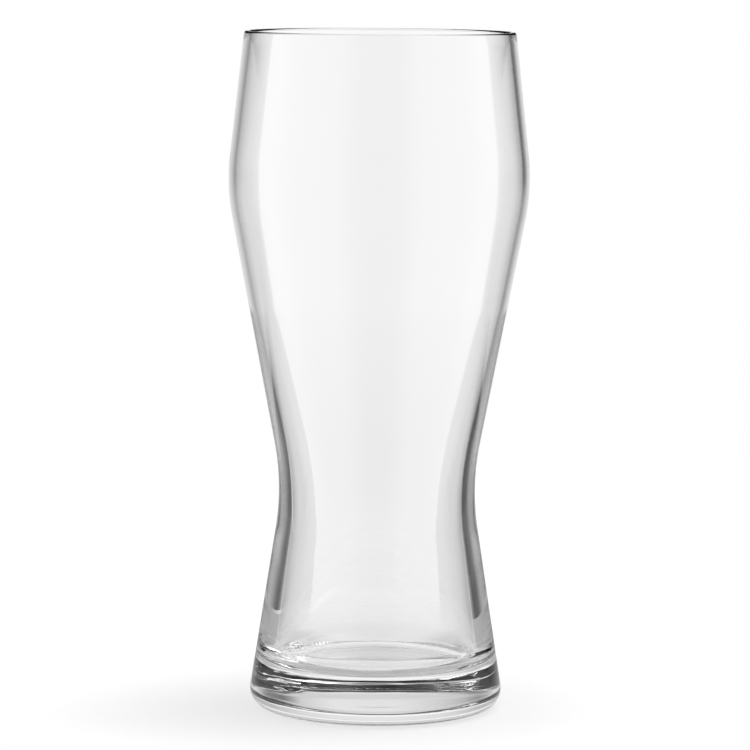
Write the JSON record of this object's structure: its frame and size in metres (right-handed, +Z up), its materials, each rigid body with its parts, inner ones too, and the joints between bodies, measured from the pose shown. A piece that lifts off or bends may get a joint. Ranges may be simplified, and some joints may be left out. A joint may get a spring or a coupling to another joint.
{
  "type": "beer glass",
  "caption": "Tall clear beer glass with a heavy flared foot, a narrow waist, a bowl that widens to a shoulder and a rim that draws in. It stands on its foot and holds a drink.",
  "frame": {"origin": "on the glass's axis, in the plane that its foot stands on", "axes": "+Z up along the axis of the glass, from the foot to the rim; the glass is round, so X and Y are free"},
  "size_m": [0.0818, 0.0818, 0.185],
  "materials": {
    "clear_glass": "clear polished soda-lime glass, fire-polished at the lip"
  },
  "bodies": {
    "root": {"glass_body": "clear_glass"}
  },
  "joints": []
}
